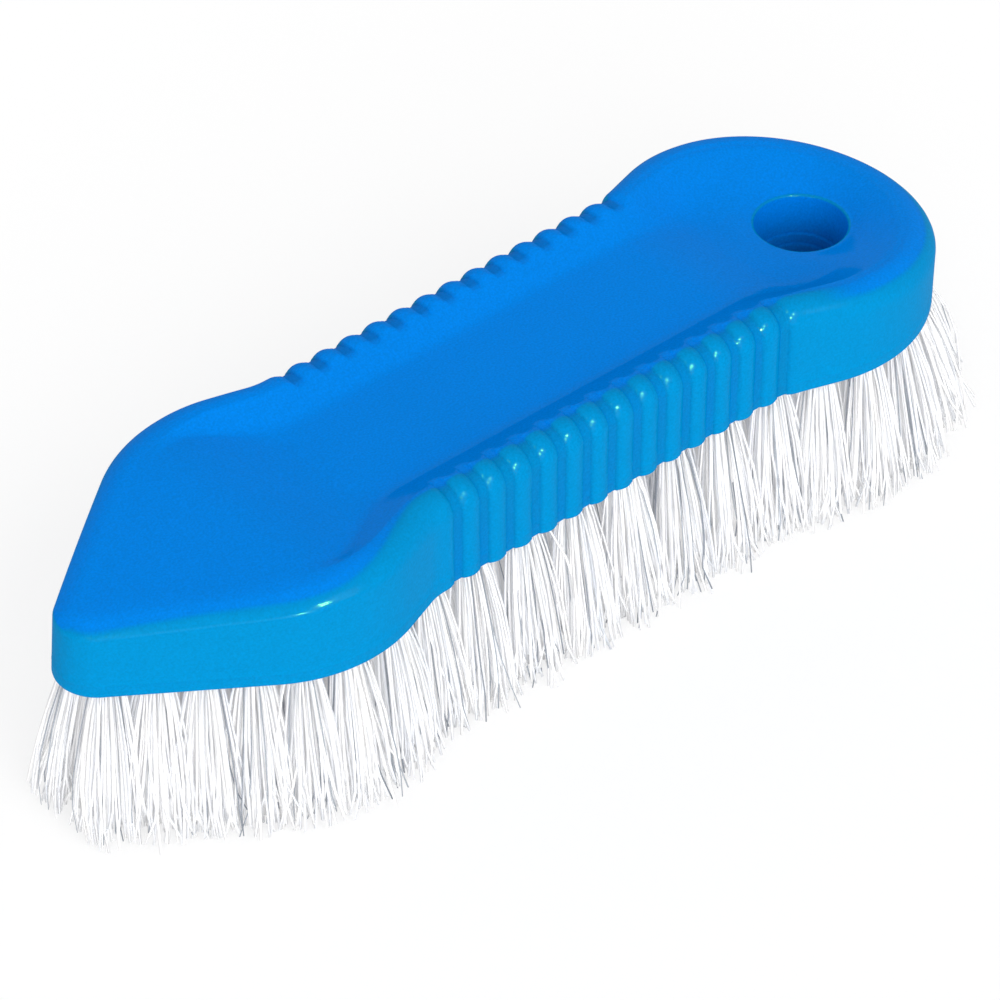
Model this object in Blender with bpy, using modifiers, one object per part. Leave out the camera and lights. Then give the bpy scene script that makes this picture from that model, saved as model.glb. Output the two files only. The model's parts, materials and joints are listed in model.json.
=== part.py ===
# Hand scrub brush. A moulded block has a pointed nose, a waist with finger grooves, a dished top
# and a round tail with a hanging hole. Separate tufts are set in blind holes in its underside.
# Metres, +Z up, +X towards the tail. The bristle tips stand on Z = 0.

import math

import bmesh
import bpy
import numpy as np
from mathutils import Matrix

# Block outline, seen from above: straight sides that widen from the nose, narrow to the waist,
# widen along it by the taper and flare to the round tail, with an arc at each turn
BLOCK_LENGTH = 0.2000
NOSE_TIP_RADIUS = 0.0084
NOSE_HALF_ANGLE = math.radians(35.8)
CORNER_HALF_WIDTH = 0.03335
CORNER_RADIUS = 0.0284
NECK_ANGLE = math.radians(19.9)
WAIST_HALF_WIDTH = 0.0251
WAIST_TAPER = 0.00077
WAIST_IN_RADIUS = 0.0103
WAIST_OUT_RADIUS = 0.0244
FLARE_ANGLE = math.radians(19.25)
TAIL_RADIUS = 0.03125

# Block heights over its underside
RIM_HEIGHT = 0.01975
NOSE_DROP = 0.00665
NOSE_DROP_RUN = 0.0650
TAIL_DROP = 0.0057
TAIL_DROP_RUN = 0.0640
NOSE_DROP_POWER = 1.65
TAIL_DROP_POWER = 2.0

# The wall is upright but at the nose, where it leans in towards its top
NOSE_LEAN = 0.0014
NOSE_LEAN_POWER = 2.75

# Rounded shoulder between wall and top, wide and low at the nose
WAIST_SHOULDER = 0.0045
NOSE_SHOULDER_WIDTH = 0.0054
NOSE_SHOULDER_HEIGHT = 0.0037
TAIL_SHOULDER_WIDTH = 0.00575
TAIL_SHOULDER_HEIGHT = 0.0047
SHOULDER_BLEND = 0.0250

# Dish in the top, inside a crest: even along the waist, with a lower deck round the hanging hole
CREST_WIDTH = 0.0010
DISH_DEPTH = 0.0032
DISH_FROM_NOSE = 0.0360
DISH_RISE_RUN = 0.0280
DISH_SLOPE_RUN = 0.0068
DECK_HEIGHT = 0.0118
DECK_SLOPE_RUN = 0.0130
DECK_END_SLOPE_RUN = 0.0065
DECK_FROM_TAIL = 0.0580
DECK_BLEND = 0.0280
DECK_FADE = 0.0140
DECK_END = 0.0010

# Finger grooves, upright in both walls and over the shoulder to the dish
GROOVE_COUNT = 14
GRIP_LENGTH_SHARE = 0.995
FIRST_GROOVE_SHARE = 0.911
GROOVE_DEPTH = 0.00087
RIB_EDGE_DROP = 0.00032
RIB_CROWN_DROP = 0.00009
GROOVE_FLOOR_SHARE = 0.13
RIB_EDGE_SHARE = 0.21
RIB_CROWN_SHARE = 0.35

# Hanging hole through the tail
HANG_HOLE_RADIUS = 0.0090
HANG_HOLE_FROM_TAIL = 0.0232
HANG_RIM_ROUND = 0.0006
HANG_HOLE_SIDES = 32

# Tufts: a root in its hole, and strands that fan out below the block
TRIM_LENGTH = 0.0320
TUFT_HOLE_RADIUS = 0.0027
TUFT_HOLE_DEPTH = 0.0090
FIT_GAP = 0.0003
STRANDS_PER_TUFT = 8
STRAND_WIDTH = 0.0010
TUFT_REACH = 0.0052
SIDE_LEAN = 0.0050
END_LEAN = 0.0040
END_LEAN_RUN = 0.0300
INNER_LEAN = 0.0025
REACH_SHARE = 0.47
INNER_STRAND_SHARE = 0.52
ROOT_CENTRE_SHARE = 0.60
STRAND_APEX_SHARE = 0.50
STRAND_BASE_SHARE = 0.37
STRAND_KNEE_SHARE = 0.45
STRAND_BEND_POWER = 1.4

# Tuft layout
RIM_ROW_INSET = 0.0052
NOSE_PITCH = 0.0083
NOSE_TUFTS = 6
CORNER_TUFTS = 2
WAIST_TUFTS = 7
GROOVES_PER_TUFT = 2
TAIL_TUFTS = 5
INNER_ROW_OFFSET = 0.0065
INNER_ROW_FROM_NOSE = 0.0360
INNER_ROW_FROM_HANG_HOLE = 0.0269
INNER_ROW_TUFTS = 9

# Fineness of the block's mesh
ARC_STEP = math.radians(1.5)
STATION_TURN = math.radians(9.0)
STATION_RUN = 0.0080
SHOULDER_ANGLES = (math.radians(30.0), math.radians(60.0), math.radians(90.0))
MOST_SLOPE_SHARE = 0.60
SLOPE_MIDDLE_SHARE = 0.50
MERGE_DISTANCE = 0.00001
CUT_OVERRUN = 0.0050

NOSE_X = -BLOCK_LENGTH / 2.0
TAIL_X = BLOCK_LENGTH / 2.0
TIP_CENTRE_X = NOSE_X + NOSE_TIP_RADIUS
APEX_X = TIP_CENTRE_X - NOSE_TIP_RADIUS / math.sin(NOSE_HALF_ANGLE)
CORNER_X = APEX_X + CORNER_HALF_WIDTH / math.tan(NOSE_HALF_ANGLE)
WAIST_END_HALF_WIDTH = WAIST_HALF_WIDTH + WAIST_TAPER
WAIST_START_X = CORNER_X + (CORNER_HALF_WIDTH - WAIST_HALF_WIDTH) / math.tan(NECK_ANGLE)
TAIL_CENTRE_X = TAIL_X - TAIL_RADIUS
FLARE_LENGTH = (TAIL_RADIUS - WAIST_END_HALF_WIDTH * math.cos(FLARE_ANGLE)) / math.sin(FLARE_ANGLE)
WAIST_END_X = TAIL_CENTRE_X - FLARE_LENGTH
WAIST_LENGTH = WAIST_END_X - WAIST_START_X
GROOVE_PITCH = GRIP_LENGTH_SHARE * WAIST_LENGTH / GROOVE_COUNT
FIRST_GROOVE_X = WAIST_START_X + FIRST_GROOVE_SHARE * GROOVE_PITCH
HANG_HOLE_X = TAIL_X - HANG_HOLE_FROM_TAIL


def clear_scene():
    for old in list(bpy.data.objects):
        bpy.data.objects.remove(old, do_unlink=True)


def new_collection(name):
    collection = bpy.data.collections.new(name)
    bpy.context.scene.collection.children.link(collection)
    return collection


def make_material(name, colour, roughness, metallic=0.0):
    material = bpy.data.materials.new(name)
    material.use_nodes = True
    shader = material.node_tree.nodes["Principled BSDF"]
    shader.inputs["Base Color"].default_value = (*colour, 1.0)
    shader.inputs["Roughness"].default_value = roughness
    shader.inputs["Metallic"].default_value = metallic
    return material


# Outline

def arc_points(centre, radius, start, end):
    count = max(2, math.ceil(abs(end - start) / ARC_STEP) + 1)
    angles = np.linspace(start, end, count)
    return [(centre[0] + radius * math.cos(a), centre[1] + radius * math.sin(a)) for a in angles]


def turn_at(before, corner, after):
    first = math.atan2(corner[1] - before[1], corner[0] - before[0])
    second = math.atan2(after[1] - corner[1], after[0] - corner[0])
    return (second - first + math.pi) % math.tau - math.pi


def rounded_corners(chain, radii):
    """Arcs at the inner points of a chain, each cut back where two of them would share a side."""
    inner = range(1, len(chain) - 1)
    turns = {i: turn_at(chain[i - 1], chain[i], chain[i + 1]) for i in inner}
    reach = {i: radii[i - 1] * math.tan(abs(turns[i]) / 2.0) for i in inner}
    reach[0] = reach[len(chain) - 1] = 0.0
    fits = {i: 1.0 for i in range(len(chain))}
    for i in range(len(chain) - 1):
        fit = math.dist(chain[i], chain[i + 1]) / (reach[i] + reach[i + 1])
        fits[i] = min(fits[i], fit)
        fits[i + 1] = min(fits[i + 1], fit)
    points = []
    for i in inner:
        side = math.copysign(1.0, turns[i])
        radius = radii[i - 1] * fits[i]
        back = radius * math.tan(abs(turns[i]) / 2.0)
        heading = math.atan2(chain[i][1] - chain[i - 1][1], chain[i][0] - chain[i - 1][0])
        start = (chain[i][0] - back * math.cos(heading), chain[i][1] - back * math.sin(heading))
        facing = heading + side * math.pi / 2.0
        centre = (start[0] + radius * math.cos(facing), start[1] + radius * math.sin(facing))
        first = facing + math.pi
        points += arc_points(centre, radius, first, first + turns[i])
    return points


def outline_path():
    """Half outline from the nose tip to the tail's end, on the +Y side, as a fine chain of points."""
    quarter = math.pi / 2.0
    tip_arc = arc_points((TIP_CENTRE_X, 0.0), NOSE_TIP_RADIUS, math.pi, quarter + NOSE_HALF_ANGLE)
    tail_arc = arc_points((TAIL_CENTRE_X, 0.0), TAIL_RADIUS, quarter + FLARE_ANGLE, 0.0)
    corner = (CORNER_X, CORNER_HALF_WIDTH)
    waist_start = (WAIST_START_X, WAIST_HALF_WIDTH)
    waist_end = (WAIST_END_X, WAIST_END_HALF_WIDTH)
    chain = [tip_arc[-1], corner, waist_start, waist_end, tail_arc[0]]
    radii = (CORNER_RADIUS, WAIST_IN_RADIUS, WAIST_OUT_RADIUS)
    path = np.array(tip_arc + rounded_corners(chain, radii) + tail_arc)
    path[0, 1] = path[-1, 1] = 0.0
    apart = np.linalg.norm(np.diff(path, axis=0), axis=1) > MERGE_DISTANCE
    return path[np.concatenate(([True], apart))]


class Outline:
    """The half outline with its running length, outward normals and the distance to it."""

    def __init__(self):
        self.path = outline_path()
        steps = np.diff(self.path, axis=0)
        self.run = np.concatenate(([0.0], np.cumsum(np.linalg.norm(steps, axis=1))))
        tangents = np.gradient(self.path, self.run, axis=0)
        tangents /= np.linalg.norm(tangents, axis=1, keepdims=True)
        tangents[0] = (0.0, 1.0)
        tangents[-1] = (0.0, -1.0)
        self.normals = np.column_stack([-tangents[:, 1], tangents[:, 0]])
        self.heading = np.unwrap(np.arctan2(tangents[:, 1], tangents[:, 0]))
        self.length = self.run[-1]

    def at(self, run):
        point = np.array([np.interp(run, self.run, self.path[:, i]) for i in (0, 1)])
        normal = np.array([np.interp(run, self.run, self.normals[:, i]) for i in (0, 1)])
        return point, normal / np.linalg.norm(normal)

    def run_at_x(self, x):
        return float(np.interp(x, self.path[:, 0], self.run))

    def inset(self, point):
        """Least distance from a point of the plan to the outline."""
        start, side = self.path[:-1], np.diff(self.path, axis=0)
        away = np.array([point[0], abs(point[1])]) - start
        share = np.clip((away * side).sum(1) / (side * side).sum(1), 0.0, 1.0)
        return float(np.linalg.norm(away - side * share[:, None], axis=1).min())


# Heights of the block

def smooth_step(value):
    value = min(1.0, max(0.0, value))
    return value * value * (3.0 - 2.0 * value)


def rim_height(x):
    """Height of the crest: level along the waist, falling to the nose and to the tail."""
    to_nose = max(0.0, NOSE_X + NOSE_DROP_RUN - x) / NOSE_DROP_RUN
    to_tail = max(0.0, x - TAIL_X + TAIL_DROP_RUN) / TAIL_DROP_RUN
    drop = NOSE_DROP * to_nose ** NOSE_DROP_POWER + TAIL_DROP * to_tail ** TAIL_DROP_POWER
    return RIM_HEIGHT - drop


def deck_share(x):
    """0 along the waist and 1 at the tail, where the dish has its deck."""
    return smooth_step((x - TAIL_X + DECK_FROM_TAIL) / DECK_BLEND)


def dish_depth(x):
    """Depth of the dish below the crest. It rises behind the nose and fades out at the tail's end."""
    even = DISH_DEPTH * smooth_step((x - NOSE_X - DISH_FROM_NOSE) / DISH_RISE_RUN)
    fade = smooth_step((TAIL_X - DECK_END - x) / DECK_FADE)
    return even + deck_share(x) * ((rim_height(x) - DECK_HEIGHT) * fade - even)


def slope_run(x):
    """Width of the dish's side, wide beside the hanging hole and narrow again at the tail's end."""
    to_end = smooth_step((x - HANG_HOLE_X) / DECK_FADE)
    tail = DECK_SLOPE_RUN + to_end * (DECK_END_SLOPE_RUN - DECK_SLOPE_RUN)
    return DISH_SLOPE_RUN + deck_share(x) * (tail - DISH_SLOPE_RUN)


def wall_lean(x):
    """How far the wall leans in at the crest's height: most at the nose tip, none at the waist."""
    to_nose = max(0.0, WAIST_START_X - x) / (WAIST_START_X - NOSE_X)
    return NOSE_LEAN * to_nose ** NOSE_LEAN_POWER


def shoulder(x):
    """Width and height of the rounded shoulder."""
    nose = smooth_step((WAIST_START_X - x) / SHOULDER_BLEND)
    tail = smooth_step((x - WAIST_END_X) / SHOULDER_BLEND)
    width = WAIST_SHOULDER + nose * (NOSE_SHOULDER_WIDTH - WAIST_SHOULDER)
    height = WAIST_SHOULDER + nose * (NOSE_SHOULDER_HEIGHT - WAIST_SHOULDER)
    width += tail * (TAIL_SHOULDER_WIDTH - WAIST_SHOULDER)
    height += tail * (TAIL_SHOULDER_HEIGHT - WAIST_SHOULDER)
    return width, height


def groove_drop(x):
    """Depth of the grip's wall below its outermost line, over one groove and half of each rib."""
    along = (x - FIRST_GROOVE_X) / GROOVE_PITCH
    nearest = min(GROOVE_COUNT - 1, max(0, round(along)))
    shares = (0.0, GROOVE_FLOOR_SHARE, RIB_EDGE_SHARE, RIB_CROWN_SHARE, 0.5)
    drops = (GROOVE_DEPTH, GROOVE_DEPTH, RIB_EDGE_DROP, RIB_CROWN_DROP, 0.0)
    return float(np.interp(abs(along - nearest), shares, drops))


def top_height(outline, x, y):
    """Height of the top inside the crest: the crest's own, less the dish, whose side is straight
    along the waist and hollow at the tail."""
    crest = shoulder(x)[0] + wall_lean(x) + CREST_WIDTH
    inside = min(1.0, max(0.0, (outline.inset((x, y)) - crest) / slope_run(x)))
    bowl = 1.0 - (1.0 - inside) ** 2
    return rim_height(x) - dish_depth(x) * (inside + deck_share(x) * (bowl - inside))


# Block

def station_runs(outline):
    """Places along the outline where a section is taken: the groove profile's own points inside
    the grip, and elsewhere one for each turn or run of the outline."""
    shares = (-RIB_CROWN_SHARE, -RIB_EDGE_SHARE, -GROOVE_FLOOR_SHARE)
    shares += (GROOVE_FLOOR_SHARE, RIB_EDGE_SHARE, RIB_CROWN_SHARE, 0.5)
    places = [FIRST_GROOVE_X - GROOVE_PITCH / 2.0]
    places += [FIRST_GROOVE_X + (i + share) * GROOVE_PITCH for i in range(GROOVE_COUNT) for share in shares]
    grip = [outline.run_at_x(x) for x in places]
    spare = GROOVE_PITCH / 2.0
    runs = [0.0]
    heading = outline.heading[0]
    for run, turned in zip(outline.run, outline.heading):
        if grip[0] - spare < run < grip[-1] + spare:
            heading = turned
            continue
        last = grip[-1] if run > grip[-1] > runs[-1] else runs[-1]
        if abs(turned - heading) >= STATION_TURN or run - last >= STATION_RUN:
            runs.append(run)
            heading = turned
    if outline.length - runs[-1] < STATION_RUN / 4.0:
        runs.pop()
    return sorted(runs + grip + [outline.length])


def section(outline, run):
    """One section of the block, from the foot of the wall up over the shoulder to the middle."""
    point, normal = outline.at(run)
    width, height = shoulder(point[0])
    drop = groove_drop(point[0])
    lean = wall_lean(point[0])
    crest = point - normal * (width + lean + CREST_WIDTH)
    rim = rim_height(crest[0])
    wall = [(drop, 0.0), (drop, rim - height)]
    for angle in SHOULDER_ANGLES:
        inset = width - (width - drop) * math.cos(angle)
        wall.append((inset, rim - height + (height - drop) * math.sin(angle)))
    ring = [(point - normal * (inset + lean * z / rim), z) for inset, z in wall]
    depth = max(dish_depth(crest[0]), GROOVE_DEPTH)
    slope = slope_run(crest[0])
    ring.append((crest - normal * (drop * slope / depth), rim - drop))
    middle = np.array([min(TAIL_CENTRE_X, max(TIP_CENTRE_X, crest[0])), 0.0])
    across = middle - crest
    span = np.linalg.norm(across)
    foot = min(MOST_SLOPE_SHARE, slope / span)
    for share in (foot * SLOPE_MIDDLE_SHARE, foot, (1.0 + foot) / 2.0, 1.0):
        inner = crest + across * share
        ring.append((inner, top_height(outline, *inner)))
    return [(place[0], place[1], z) for place, z in ring]


def make_block(outline, collection, material):
    """Half of the block as a loft of its sections, open at Y = 0, mirrored and then cut."""
    mesh = bpy.data.meshes.new("handle_block")
    shape = bmesh.new()
    sections = [section(outline, run) for run in station_runs(outline)]
    rows = [[shape.verts.new(place) for place in ring] for ring in sections]
    for row, following in zip(rows, rows[1:]):
        for i in range(len(row) - 1):
            shape.faces.new((row[i], following[i], following[i + 1], row[i + 1]))
    shape.faces.new([row[0] for row in reversed(rows)])
    bmesh.ops.remove_doubles(shape, verts=shape.verts, dist=MERGE_DISTANCE)
    for vertex in shape.verts:
        if abs(vertex.co.y) < MERGE_DISTANCE:
            vertex.co.y = 0.0
    bmesh.ops.recalc_face_normals(shape, faces=shape.faces)
    shape.to_mesh(mesh)
    shape.free()
    block = bpy.data.objects.new("handle_block", mesh)
    collection.objects.link(block)
    block.location.z = TRIM_LENGTH
    mesh.materials.append(material)
    mesh.shade_smooth()
    mesh.set_sharp_from_angle(angle=math.radians(30.0))
    mirror = block.modifiers.new("other half", "MIRROR")
    mirror.use_axis = (False, True, False)
    mirror.merge_threshold = MERGE_DISTANCE
    return block


def cut(block, cutter, name):
    boolean = block.modifiers.new(name, "BOOLEAN")
    boolean.operation = "DIFFERENCE"
    boolean.solver = "EXACT"
    boolean.object = cutter


def cutter_object(name, mesh, collection):
    cutter = bpy.data.objects.new(name, mesh)
    collection.objects.link(cutter)
    cutter.hide_render = True
    cutter.display_type = "WIRE"
    return cutter


def make_hanging_hole_cutter(outline, collection):
    """Turned cutter: a straight bore that opens out in a rounded rim at the top."""
    surface = top_height(outline, HANG_HOLE_X, HANG_HOLE_RADIUS)
    wide = HANG_HOLE_RADIUS + HANG_RIM_ROUND
    profile = [(0.0, surface + CUT_OVERRUN), (wide + CUT_OVERRUN, surface + CUT_OVERRUN)]
    for angle in (math.radians(60.0), math.radians(30.0), 0.0):
        out = wide - HANG_RIM_ROUND * math.cos(angle)
        profile.append((out, surface - HANG_RIM_ROUND * (1.0 - math.sin(angle))))
    profile += [(HANG_HOLE_RADIUS, -CUT_OVERRUN), (0.0, -CUT_OVERRUN)]
    mesh = bpy.data.meshes.new("hanging_hole_cutter")
    edges = [(i, i + 1) for i in range(len(profile) - 1)]
    mesh.from_pydata([(x, 0.0, z) for x, z in profile], edges, [])
    cutter = cutter_object("hanging_hole_cutter", mesh, collection)
    cutter.location = (HANG_HOLE_X, 0.0, TRIM_LENGTH)
    cutter.rotation_euler.z = math.pi / HANG_HOLE_SIDES
    screw = cutter.modifiers.new("turned", "SCREW")
    screw.steps = screw.render_steps = HANG_HOLE_SIDES
    screw.use_merge_vertices = True
    screw.merge_threshold = MERGE_DISTANCE
    return cutter


def make_tuft_hole_cutter(tufts, collection):
    """One mesh of round pegs, one for each tuft hole."""
    shape = bmesh.new()
    length = TUFT_HOLE_DEPTH + CUT_OVERRUN
    for tuft in tufts:
        height = TRIM_LENGTH + TUFT_HOLE_DEPTH - length / 2.0
        place = Matrix.Translation((tuft["x"], tuft["y"], height))
        turn = Matrix.Rotation(tuft["outward"], 4, "Z")
        bmesh.ops.create_cone(
            shape,
            cap_ends=True,
            segments=STRANDS_PER_TUFT,
            radius1=TUFT_HOLE_RADIUS,
            radius2=TUFT_HOLE_RADIUS,
            depth=length,
            matrix=place @ turn,
        )
    mesh = bpy.data.meshes.new("tuft_hole_cutter")
    shape.to_mesh(mesh)
    shape.free()
    return cutter_object("tuft_hole_cutter", mesh, collection)


# Tufts

class RimRow:
    """The outer row's line: the outline moved inwards, with its own running length."""

    def __init__(self, outline):
        self.outline = outline
        inner = outline.path - outline.normals * RIM_ROW_INSET
        steps = np.linalg.norm(np.diff(inner, axis=0), axis=1)
        self.run = np.concatenate(([0.0], np.cumsum(steps)))
        self.length = self.run[-1]

    def run_at_x(self, x):
        return float(np.interp(self.outline.run_at_x(x), self.outline.run, self.run))

    def at(self, run):
        point, normal = self.outline.at(np.interp(run, self.run, self.outline.run))
        return point - normal * RIM_ROW_INSET, normal


def new_tuft(name, x, y, lean):
    """A tuft's place, and the way and distance by which its tips lean outwards."""
    outward, distance = math.atan2(lean[1], lean[0]), math.hypot(*lean)
    return {"name": name, "x": x, "y": y, "outward": outward, "lean": distance}


def rim_lean(place, normal):
    """The outer row leans out square to the rim, and near an end also towards that end."""
    to_nose = max(0.0, 1.0 - (place[0] - NOSE_X) / END_LEAN_RUN)
    to_tail = max(0.0, 1.0 - (TAIL_X - place[0]) / END_LEAN_RUN)
    return normal[0] * SIDE_LEAN + (to_tail - to_nose) * END_LEAN, normal[1] * SIDE_LEAN


def tuft_layout(outline):
    """Each tuft's name, place, lean and reach. The outer row follows the rim, behind every second
    groove along the waist. Two inner rows run beside the middle."""
    row = RimRow(outline)
    nose = [NOSE_PITCH * (i + 0.5) for i in range(NOSE_TUFTS)]
    grooves = [FIRST_GROOVE_X + (GROOVES_PER_TUFT * i + 1) * GROOVE_PITCH for i in range(WAIST_TUFTS)]
    waist = [row.run_at_x(x) for x in grooves]
    corner_step = (waist[0] - nose[-1]) / (CORNER_TUFTS + 1)
    corner = [nose[-1] + corner_step * (i + 1) for i in range(CORNER_TUFTS)]
    tail_step = (row.length - waist[-1]) / (TAIL_TUFTS + 1)
    tail = [waist[-1] + tail_step * (i + 1) for i in range(TAIL_TUFTS)]
    place, normal = row.at(row.length)
    tufts = [new_tuft("tuft_tail", place[0], 0.0, (rim_lean(place, normal)[0], 0.0))]
    first = NOSE_X + INNER_ROW_FROM_NOSE
    inner = np.linspace(first, HANG_HOLE_X - INNER_ROW_FROM_HANG_HOLE, INNER_ROW_TUFTS)
    for side, word in ((1.0, "left"), (-1.0, "right")):
        for number, run in enumerate(nose + corner + waist + tail, 1):
            place, normal = row.at(run)
            lean = rim_lean(place, normal)
            name = f"tuft_rim_{word}_{number:02d}"
            tufts.append(new_tuft(name, place[0], side * place[1], (lean[0], side * lean[1])))
        for number, x in enumerate(inner, 1):
            name = f"tuft_inner_{word}_{number:02d}"
            tufts.append(new_tuft(name, x, side * INNER_ROW_OFFSET, (0.0, side * INNER_LEAN)))
    give_reach(tufts)
    return tufts


def give_reach(tufts):
    """A tuft's strands spread at the tips to a little less than half way to the next tuft's."""
    tips = np.array([
        (t["x"] + t["lean"] * math.cos(t["outward"]), t["y"] + t["lean"] * math.sin(t["outward"]))
        for t in tufts
    ])
    for i, tuft in enumerate(tufts):
        others = np.arange(len(tufts)) != i
        nearest = np.linalg.norm(tips[others] - tips[i], axis=1).min()
        tuft["reach"] = min(TUFT_REACH, REACH_SHARE * nearest)


def middle_of_tips(tufts):
    """Middle of the brush's overall length, which the strand tips of both ends set."""
    xs = []
    for tuft in tufts:
        for sector in range(STRANDS_PER_TUFT):
            for corner in strand_corners(sector, 1.0, tuft["lean"], tuft["reach"]):
                along = corner[0] * math.cos(tuft["outward"]) - corner[1] * math.sin(tuft["outward"])
                xs.append(tuft["x"] + along)
    return (min(xs) + max(xs)) / 2.0


def strand_corners(sector, share, lean, reach):
    """Three corners of a strand at a share of the trim length: one towards the tuft's middle and
    two away from it. The strands lie in their own sectors, so none crosses another."""
    bend = share ** STRAND_BEND_POWER
    root = TUFT_HOLE_RADIUS * ROOT_CENTRE_SHARE
    full = reach - STRAND_WIDTH * STRAND_BASE_SHARE
    target = full if sector % 2 == 0 else full * INNER_STRAND_SHARE
    out = root + (target - root) * bend
    angle = math.tau * (sector + 0.5) / STRANDS_PER_TUFT
    along = np.array([math.cos(angle), math.sin(angle)])
    aside = np.array([-along[1], along[0]])
    middle = np.array([lean * bend, 0.0])
    apex = middle + along * (out - STRAND_WIDTH * STRAND_APEX_SHARE)
    base = middle + along * (out + STRAND_WIDTH * STRAND_BASE_SHARE)
    half = aside * STRAND_WIDTH / 2.0
    return apex, base - half, base + half


def strand_sector(face, middle_x):
    centre = face.calc_center_median()
    angle = math.atan2(centre.y, centre.x - middle_x) % math.tau
    return int(angle / math.tau * STRANDS_PER_TUFT)


def make_tuft(tuft, collection, material):
    """A root that fills its hole but for the fit gap, with each sector of its end drawn out twice
    into a strand."""
    shape = bmesh.new()
    length = TUFT_HOLE_DEPTH - FIT_GAP
    bmesh.ops.create_cone(
        shape,
        cap_ends=True,
        cap_tris=True,
        segments=STRANDS_PER_TUFT,
        radius1=TUFT_HOLE_RADIUS - FIT_GAP,
        radius2=TUFT_HOLE_RADIUS - FIT_GAP,
        depth=length,
        matrix=Matrix.Translation((0.0, 0.0, length / 2.0)),
    )
    shape.normal_update()
    ends = [face for face in shape.faces if face.normal.z < -0.5]
    middle_x = 0.0
    for share in (STRAND_KNEE_SHARE, 1.0):
        ends = bmesh.ops.extrude_discrete_faces(shape, faces=ends)["faces"]
        for face in ends:
            sector = strand_sector(face, middle_x)
            corners = strand_corners(sector, share, tuft["lean"], tuft["reach"])
            ordered = sorted(face.verts, key=lambda v: (v.co.x - middle_x) ** 2 + v.co.y ** 2)
            sides = sorted(ordered[1:], key=lambda v: side_angle(v.co, middle_x, sector))
            for vertex, corner in zip([ordered[0]] + sides, corners):
                vertex.co = (corner[0], corner[1], -TRIM_LENGTH * share)
        middle_x = tuft["lean"] * share ** STRAND_BEND_POWER
    mesh = bpy.data.meshes.new(tuft["name"])
    shape.to_mesh(mesh)
    shape.free()
    mesh.materials.append(material)
    mesh.shade_smooth()
    mesh.set_sharp_from_angle(angle=math.radians(30.0))
    tuft_object = bpy.data.objects.new(tuft["name"], mesh)
    collection.objects.link(tuft_object)
    tuft_object.location = (tuft["x"], tuft["y"], TRIM_LENGTH)
    tuft_object.rotation_euler.z = tuft["outward"]
    return tuft_object


def side_angle(place, middle_x, sector):
    """Angle of a corner about the tuft's middle, counted from the middle of its sector."""
    centre = math.tau * (sector + 0.5) / STRANDS_PER_TUFT
    angle = math.atan2(place.y, place.x - middle_x)
    return (angle - centre + math.pi) % math.tau - math.pi


def main():
    clear_scene()
    parts = new_collection("scrub_brush")
    cutters = new_collection("cutters")
    blue = make_material("blue_polypropylene", (0.0006, 0.2020, 0.7160), 0.35)
    white = make_material("white_filament", (0.8500, 0.8700, 0.9000), 0.45)
    outline = Outline()
    tufts = tuft_layout(outline)
    block = make_block(outline, parts, blue)
    tuft_holes = make_tuft_hole_cutter(tufts, cutters)
    hanging_hole = make_hanging_hole_cutter(outline, cutters)
    cut(block, tuft_holes, "tuft holes")
    cut(block, hanging_hole, "hanging hole")
    pieces = [block, tuft_holes, hanging_hole]
    pieces += [make_tuft(tuft, parts, white) for tuft in tufts]
    middle = middle_of_tips(tufts)
    for piece in pieces:
        piece.location.x -= middle


main()
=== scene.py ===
import json
import math

import bmesh
import bpy
import numpy as np
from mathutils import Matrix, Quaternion, Vector
from mathutils.geometry import delaunay_2d_cdt

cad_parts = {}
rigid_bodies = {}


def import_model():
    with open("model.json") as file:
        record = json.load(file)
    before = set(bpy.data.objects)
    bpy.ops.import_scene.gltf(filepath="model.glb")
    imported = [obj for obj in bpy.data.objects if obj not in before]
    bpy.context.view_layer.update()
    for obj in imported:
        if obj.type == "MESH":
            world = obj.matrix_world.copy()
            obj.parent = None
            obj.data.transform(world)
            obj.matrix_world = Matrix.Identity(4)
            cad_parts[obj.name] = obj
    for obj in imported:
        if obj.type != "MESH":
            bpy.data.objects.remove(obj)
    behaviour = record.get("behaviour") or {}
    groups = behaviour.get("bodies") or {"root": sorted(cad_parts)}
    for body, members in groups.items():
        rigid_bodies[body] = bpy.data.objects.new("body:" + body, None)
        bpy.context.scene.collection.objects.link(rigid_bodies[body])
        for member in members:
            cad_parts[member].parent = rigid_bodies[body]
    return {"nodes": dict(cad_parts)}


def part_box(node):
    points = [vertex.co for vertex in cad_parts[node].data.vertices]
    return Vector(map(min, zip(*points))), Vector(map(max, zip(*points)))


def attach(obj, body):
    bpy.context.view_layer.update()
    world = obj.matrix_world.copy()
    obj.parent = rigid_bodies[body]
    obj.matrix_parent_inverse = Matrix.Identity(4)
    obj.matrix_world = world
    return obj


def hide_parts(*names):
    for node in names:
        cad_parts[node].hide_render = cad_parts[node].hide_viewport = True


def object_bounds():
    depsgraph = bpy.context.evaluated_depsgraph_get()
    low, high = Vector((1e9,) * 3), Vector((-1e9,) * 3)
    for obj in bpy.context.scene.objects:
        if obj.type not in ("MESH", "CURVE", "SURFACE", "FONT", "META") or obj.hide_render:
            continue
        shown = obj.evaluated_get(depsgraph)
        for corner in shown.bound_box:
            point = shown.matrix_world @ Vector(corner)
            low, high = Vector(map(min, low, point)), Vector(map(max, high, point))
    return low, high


for thing in list(bpy.data.objects):
    bpy.data.objects.remove(thing)
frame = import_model()
cadLow, cadHigh = [[float(c) for c in corner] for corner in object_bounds()]

# Sizes are millimetres and turn into metres where a mesh is made. Angles in a dictionary are degrees.
mm = 0.001
blockLow, blockHigh = [[float(c) / mm for c in corner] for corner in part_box("handle_block")]
middleX = (blockLow[0] + blockHigh[0]) / 2
underside = blockLow[2]


# Small helpers

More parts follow.
